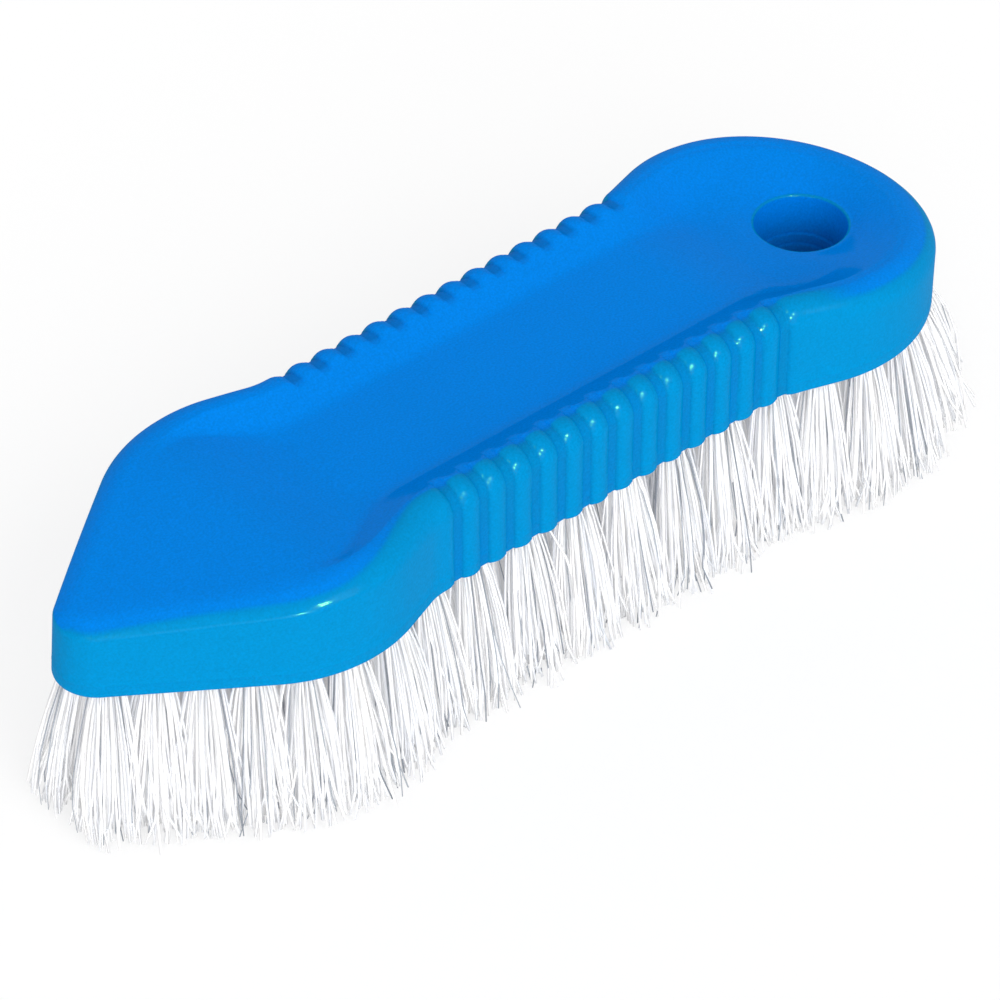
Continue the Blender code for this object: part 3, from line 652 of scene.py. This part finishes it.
def blockPlastic():
    # Moulded polypropylene: satin, so the eye sees soft even colour with a weak gloss on the edges. The
    # soft colour is the rough base, and the gloss is a thin coat that catches the lamps.
    material = newMaterial("bluePolypropylene")
    place = addNode(material, "ShaderNodeTexCoord").outputs["Object"]
    # The blue follows the painted light `side` and is darkened by the painted shade `shade`.
    side, shade = [addNode(material, "ShaderNodeAttribute", attribute_name=name).outputs["Fac"]
                   for name in ("side", "shade")]
    grain = addNode(material, "ShaderNodeTexNoise", {
        "Vector": place, "Scale": 1 / (plastic["grainSize"] * mm), "Detail": 3})
    cloud = addNode(material, "ShaderNodeTexNoise", {
        "Vector": place, "Scale": 1 / (plastic["cloudSize"] * mm), "Detail": 2})
    drift = addNode(material, "ShaderNodeMapRange", {
        "Value": cloud.outputs["Fac"], "From Min": 0.35, "From Max": 0.65,
        "To Min": plastic["cloudDrift"][0], "To Max": plastic["cloudDrift"][1]})
    share = addNode(material, "ShaderNodeMath", {0: side, 1: drift.outputs["Result"]}, operation="ADD")
    color = addNode(material, "ShaderNodeValToRGB", {"Fac": share.outputs["Value"]})
    stops = color.color_ramp.elements
    stops[0].color, stops[1].color = linearColor(plastic["topBlue"]), linearColor(plastic["wallPaintedLightBlue"])
    stops.new(0.35).color = linearColor(plastic["slopePaintedShadeBlue"])
    stops.new(0.8).color = linearColor(plastic["edgePaintedLightBlue"])
    speck = addNode(material, "ShaderNodeMapRange", {
        "Value": grain.outputs["Fac"], "From Min": 0.3, "From Max": 0.7,
        "To Min": plastic["grainLight"][0], "To Max": plastic["grainLight"][1]})
    value = addNode(material, "ShaderNodeMath", {0: speck.outputs["Result"], 1: shade}, operation="MULTIPLY")
    shaded = addNode(material, "ShaderNodeHueSaturation", {
        "Color": color.outputs["Color"], "Value": value.outputs["Value"]})
    fine = addNode(material, "ShaderNodeBump", {
        "Strength": 0.2, "Distance": plastic["grainDepth"] * mm, "Height": grain.outputs["Fac"]})
    rough = addNode(material, "ShaderNodeMapRange", {
        "Value": cloud.outputs["Fac"],
        "To Min": plastic["glossRoughness"][0], "To Max": plastic["glossRoughness"][1]})
    shader = addNode(material, "ShaderNodeBsdfPrincipled", {
        "Base Color": shaded.outputs["Color"], "Roughness": plastic["roughness"], "Specular IOR Level": 0,
        "Normal": fine.outputs["Normal"], "Coat Weight": plastic["gloss"],
        "Coat Roughness": rough.outputs["Result"], "Coat IOR": plastic["ior"],
        "Coat Normal": fine.outputs["Normal"],
    })
    addNode(material, "ShaderNodeOutputMaterial", {"Surface": shader.outputs["BSDF"]})
    return material


def colorSockets(mix, factor, first, second):
    # A colour mix has several sockets of one name, so they are set by number.
    mix.id_data.links.new(factor, mix.inputs[0])
    mix.inputs[6].default_value = first
    mix.inputs[7].default_value = second


# Dark grey to light grey for the grey filaments, which are painted shade, the thin dark lines between
# filaments. Cool white to warm white for the others. `glow` is painted light.
nylon = {
    "colors": ("#8b919b", "#b0b6be", "#eff1f5", "#fbfaf9"), "greyShare": 0.1, "roughness": 0.6, "glow": 0.14,
}


def filamentPlastic():
    # Drawn nylon: matt white, each filament a little cooler or warmer than the next. A few grey ones are
    # painted shade for the dark lines between filaments, so the eye can tell them apart. The colour darkens
    # towards the hole, painted shade where the tuft closes. Light passes through such thin filaments, and a
    # weak glow of their own colour, painted light, stands for that.
    material = newMaterial("whiteNylon")
    tint, shade = [addNode(material, "ShaderNodeAttribute", attribute_name=name).outputs["Fac"]
                   for name in ("tint", "shade")]
    color = addNode(material, "ShaderNodeValToRGB", {"Fac": tint})
    stops = color.color_ramp.elements
    darkGrey, lightGrey, coolWhite, warmWhite = [linearColor(shown) for shown in nylon["colors"]]
    stops[0].color, stops[1].color = darkGrey, warmWhite
    stops.new(nylon["greyShare"] - 0.005).color = lightGrey
    stops.new(nylon["greyShare"] + 0.005).color = coolWhite
    shaded = addNode(material, "ShaderNodeHueSaturation", {"Color": color.outputs["Color"], "Value": shade})
    # The glow is painted light, for light that passes through the thin filaments.
    shader = addNode(material, "ShaderNodeBsdfPrincipled", {
        "Base Color": shaded.outputs["Color"], "Roughness": nylon["roughness"], "Specular IOR Level": 0,
        "Emission Color": shaded.outputs["Color"], "Emission Strength": nylon["glow"],
    })
    addNode(material, "ShaderNodeOutputMaterial", {"Surface": shader.outputs["BSDF"]})
    return material


# Bristles

# Counts are filaments in a tuft. Real ones are about 0.4 mm thick. They are drawn at 0.56 mm, so that a
# tuft looks as full as a real one. Runs at the ends are where a change starts, and over what length.
bristle = {
    "radius": 0.28, "sizes": (0.85, 1.1), "greySize": 0.5, "rimCount": 108, "innerCount": 76,
    "length": 33.3, "intoHole": 3, "spreadOut": 4.4, "rimSpread": 6.6, "innerSpread": 6.4,
    "holeGap": 0.1, "rootJitter": 0.06, "jitter": 0.9, "bow": 0.8, "curl": 0.7, "curlFrom": 0.8,
    "ragged": 1.3, "tuftRagged": 0.8, "shortShare": 0.22, "shortBy": 6,
    "noseCut": 0.4, "noseRun": (32, 26), "tailCut": 0.6, "tailFan": 0.45, "tailRun": (34, 20),
    "softEdge": 3.0, "edgeGap": 0.05, "rootShade": (0.8, 0.86),
    "goldenAngle": 2.39996, "fullTurn": 6.28, "firstSeed": 400,
}
# Where a filament's tube has its rings, as shares of the way from its end in the hole to its tip.
levels = np.array([0, 0.22, 0.45, 0.68, 0.86, 1.0])


def keptInside(points, low, high):
    # Limit of x and y that bends strays back before the edge: edge - soft + soft * tanh(over / soft).
    soft, kept = bristle["softEdge"], points.copy()
    for axis in (0, 1):
        over = np.clip(points[:, axis] - high[axis] + soft, 0, None)
        under = np.clip(low[axis] + soft - points[:, axis], 0, None)
        kept[:, axis] += soft * np.tanh(over / soft) - over - soft * np.tanh(under / soft) + under
    return kept


def filamentPaths(tuft, rng):
    # Middle lines of one tuft's filaments, by filament and level s. Each runs from its place in the hole
    # to its place at the tips: across = root + (tip - root) * (1.25 s - 0.25 s^2) + bow * sin(pi s), with
    # a curl near the tip. It keeps its length, so the more it leans the higher it ends:
    # reach = sqrt(length^2 - away^2). None reaches below the floor.
    inner = "tuft_inner" in (tuft["node"] or "tuft_inner")
    count = bristle["innerCount"] if inner else bristle["rimCount"]
    spread = bristle["innerSpread"] if inner else bristle["rimSpread"]
    place = tuft["root"][0] - middleX
    atTailEnd = smoothStep((place - tailX + bristle["tailRun"][0]) / bristle["tailRun"][1])
    atNoseEnd = smoothStep((noseX + bristle["noseRun"][0] - place) / bristle["noseRun"][1])
    lean = tuft["lean"] * (1 + bristle["tailFan"] * atTailEnd)
    outward = lean / np.linalg.norm(lean)
    along = np.array([-outward[1], outward[0]])

    index = np.arange(count) + 0.5
    out, turn = np.sqrt(index / count), index * bristle["goldenAngle"] + rng.uniform(0, bristle["fullTurn"])
    disc = np.column_stack([out * np.cos(turn), out * np.sin(turn)])
    disc += rng.normal(0, bristle["rootJitter"], (count, 2))
    disc /= np.maximum(1, np.linalg.norm(disc, axis=1, keepdims=True))
    hold = tuftHole["radius"] - bristle["radius"] - bristle["holeGap"]
    root = tuft["root"] + (disc[:, :1] * outward + disc[:, 1:] * along) * hold
    tip = tuft["root"] + lean + disc[:, :1] * outward * bristle["spreadOut"] + disc[:, 1:] * along * spread
    tip += rng.normal(0, bristle["jitter"], (count, 2))
    bow = rng.normal(0, bristle["bow"], (count, 2))
    curl = rng.normal(0, bristle["curl"], (count, 2))
    ragged = np.abs(rng.normal(0, bristle["ragged"], count)) + rng.uniform(0, bristle["tuftRagged"])
    isShort = rng.uniform(0, 1, count) < bristle["shortShare"]
    ragged += isShort * rng.uniform(0, bristle["shortBy"], count)
    ragged += bristle["noseCut"] * atNoseEnd + bristle["tailCut"] * atTailEnd
    away = np.linalg.norm(tip - root, axis=1)
    reach = np.minimum(np.sqrt((bristle["length"] - ragged) ** 2 - away ** 2), underside)

    rings = []
    for level in levels:
        middle = root + (tip - root) * (1.25 * level - 0.25 * level ** 2) + bow * math.sin(math.pi * level)
        middle = middle + curl * max(0, (level - bristle["curlFrom"]) / (1 - bristle["curlFrom"])) ** 2
        depth = bristle["intoHole"] - level * (reach + bristle["intoHole"])
        rings.append(np.column_stack([middle, underside + depth]))
    return np.stack(rings, axis=1)


def makeTuft(tuft, number, material):
    # One tuft's filaments as tubes of three sides round their middle lines, open in the hole and closed
    # at the tips: corner = middle + size * (cos(turn) * sideways + sin(turn) * upward).
    rng = np.random.default_rng(bristle["firstSeed"] + number)
    centre = filamentPaths(tuft, rng)
    count, rows = centre.shape[:2]
    heading = np.gradient(centre, axis=1)
    heading /= np.linalg.norm(heading, axis=2, keepdims=True)
    sideways = np.cross(heading, (0.0, 1.0, 0.0))
    sideways /= np.linalg.norm(sideways, axis=2, keepdims=True)
    upward = np.cross(heading, sideways)
    spin = rng.uniform(0, bristle["fullTurn"], count)[:, None, None]
    tint = rng.uniform(0, 1, count)
    # The grey filaments, painted shade lines between filaments, are drawn thinner.
    thin = np.where(tint < nylon["greyShare"], bristle["greySize"], 1)
    size = (bristle["radius"] * rng.uniform(*bristle["sizes"], count) * thin)[:, None, None]
    corners = [centre + size * (np.cos(spin + turn) * sideways + np.sin(spin + turn) * upward)
               for turn in (0, 2 * math.pi / 3, 4 * math.pi / 3)]
    points = np.stack(corners, axis=2).reshape(-1, 3)
    each, last = rows * 3, (rows - 1) * 3
    one = np.array([[r * 3 + c, r * 3 + (c + 1) % 3, (r + 1) * 3 + (c + 1) % 3, (r + 1) * 3 + c]
                    for r in range(rows - 1) for c in range(3)])
    faces = (one[None] + (np.arange(count) * each)[:, None, None]).reshape(-1, 4).tolist()
    faces += [[i * each + last + c for c in range(3)] for i in range(count)]
    low, high = np.array(cadLow) / mm + bristle["edgeGap"], np.array(cadHigh) / mm - bristle["edgeGap"]
    low[2] = 0  # the tips may touch the floor
    points = np.clip(keptInside(points, low, high), low, high)
    name = tuft.get("name") or tuft["node"].replace("tuft", "filaments")
    piece = newObject(name, points, faces, material)
    piece.data.shade_smooth()
    # Painted shade: the filaments darken towards the hole, where the tuft closes under the block.
    rowShade = np.interp(levels, (0, 0.1, 0.5), (*bristle["rootShade"], 1))
    for name, values in (("tint", np.repeat(tint, each)), ("shade", np.tile(np.repeat(rowShade, 3), count))):
        piece.data.attributes.new(name, "FLOAT", "POINT").data.foreach_set("value", values)
    return piece


# Building

blockPiece = makeBlock(blockPlastic())
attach(blockPiece, "root")
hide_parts("handle_block")
print("block made", len(blockPiece.data.polygons))

filament = filamentPlastic()
for number, tuft in enumerate(tufts):
    piece = makeTuft(tuft, number, filament)
    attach(piece, "root")
    if tuft["node"]:
        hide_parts(tuft["node"])
print("tufts made", len(tufts))


# Floor, light and camera

def showsBackground(material):
    # 1 for the rays that show the background: camera, glossy and transmission rays.
    path = addNode(material, "ShaderNodeLightPath")
    total = path.outputs["Is Camera Ray"]
    for name in ("Is Glossy Ray", "Is Transmission Ray"):
        add = addNode(material, "ShaderNodeMath", {0: total, 1: path.outputs[name]},
                      operation="ADD", use_clamp=True)
        total = add.outputs["Value"]
    return total


paper = {"color": "#f1f1f1", "glow": 0.7, "halfWidth": 3000, "skyLight": 0.7}


def makeFloor():
    # Matt white paper. Rays that show the background see it brighter, with a glow that brings it to
    # white, and it keeps the brush's shadow.
    material = newMaterial("whitePaper")
    color = addNode(material, "ShaderNodeMix", data_type="RGBA")
    colorSockets(color, showsBackground(material), linearColor(paper["color"]), (1, 1, 1, 1))
    matt = addNode(material, "ShaderNodeBsdfDiffuse", {"Color": color.outputs[2]})
    white = addNode(material, "ShaderNodeEmission", {"Strength": 1})
    share = addNode(material, "ShaderNodeMath", {0: showsBackground(material), 1: paper["glow"]},
                    operation="MULTIPLY")
    shader = addNode(material, "ShaderNodeMixShader", {
        0: share.outputs["Value"], 1: matt.outputs["BSDF"], 2: white.outputs["Emission"]})
    addNode(material, "ShaderNodeOutputMaterial", {"Surface": shader.outputs["Shader"]})
    wide = paper["halfWidth"]
    corners = [(-wide, -wide, 0), (wide, -wide, 0), (wide, wide, 0), (-wide, wide, 0)]
    newObject("floor", corners, [(0, 1, 2, 3)], material)


makeFloor()
world = bpy.data.worlds.new("studio")
world.use_nodes = True
world.node_tree.nodes.clear()
bpy.context.scene.world = world
seen = addNode(world, "ShaderNodeMapRange", {
    "Value": showsBackground(world), "To Min": paper["skyLight"], "To Max": 1})
sky = addNode(world, "ShaderNodeBackground", {"Color": (1, 1, 1, 1), "Strength": seen.outputs["Result"]})
addNode(world, "ShaderNodeOutputWorld", {"Surface": sky.outputs["Background"]})


# Lamps by direction from the brush. `reading` is what a white surface that faced the lamp would show.
# The glints are small lamps, with their sizes in metres, that only the gloss sees. The suns light the
# colours, and `spread` is their width in degrees.
glints = {
    "keyGlint": {"direction": (-0.16, -0.70, 0.695), "size": (0.05, 0.1), "reading": 3.4},
    "noseGlint": {"direction": (-0.413, -0.764, 0.497), "size": (0.05, 0.05), "reading": 5},
    "leftGlint": {"direction": (-0.6, -0.2, 0.78), "size": (0.05, 0.05), "reading": 1.6},
}
glintColor = linearColor("#7bff5f")[:3]
glintDistance, glintHeight = 1.0, 8  # metres from the brush, and millimetres over the underside
suns = {
    "keySun": {"direction": (0.02, -0.75, 0.66), "spread": 30, "reading": 0.24},
    "frontFill": {"direction": (-0.55, -0.79, 0.28), "spread": 50, "reading": 0.56},
}


def addGlint(name, lamp):
    # An area light of energy P at the distance d lights a white surface to P / (pi d) ^ 2.
    data = bpy.data.lights.new(name, "AREA")
    data.shape = "RECTANGLE"
    data.size, data.size_y = lamp["size"]
    data.energy = lamp["reading"] * (math.pi * glintDistance) ** 2
    data.color = glintColor
    light = bpy.data.objects.new(name, data)
    target = Vector((middleX * mm, 0, (underside + glintHeight) * mm))
    light.location = target + Vector(lamp["direction"]).normalized() * glintDistance
    light.rotation_euler = (target - light.location).to_track_quat("-Z", "Y").to_euler()
    light.visible_diffuse = False
    bpy.context.scene.collection.objects.link(light)


def addSun(name, lamp):
    # A sun of strength E lights a white surface to E / pi.
    data = bpy.data.lights.new(name, "SUN")
    data.energy, data.angle = lamp["reading"] * math.pi, math.radians(lamp["spread"])
    sun = bpy.data.objects.new(name, data)
    sun.rotation_euler = Vector(lamp["direction"]).to_track_quat("Z", "Y").to_euler()
    bpy.context.scene.collection.objects.link(sun)


for name, lamp in glints.items():
    addGlint(name, lamp)
for name, lamp in suns.items():
    addSun(name, lamp)
print("lamps made", len(glints) + len(suns))

# Places are from the middle of the block's underside, and `roll` is in radians.
view = {"place": (-369.09, -418.89, 453.87), "aim": (-11.39, -12.71, 0), "lens": 141.45, "roll": -0.0056}
cameraData = bpy.data.cameras.new("camera")
cameraData.sensor_width = 36
cameraData.lens = view["lens"]
camera = bpy.data.objects.new("camera", cameraData)
base = Vector((middleX, 0, underside))
aim = (base + Vector(view["aim"])) * mm
camera.location = (base + Vector(view["place"])) * mm
turn = (aim - camera.location).to_track_quat("-Z", "Y")
camera.rotation_euler = (turn @ Quaternion((0, 0, 1), view["roll"])).to_euler()
bpy.context.scene.collection.objects.link(camera)
bpy.context.scene.camera = camera
bpy.context.scene.view_settings.view_transform = "Standard"
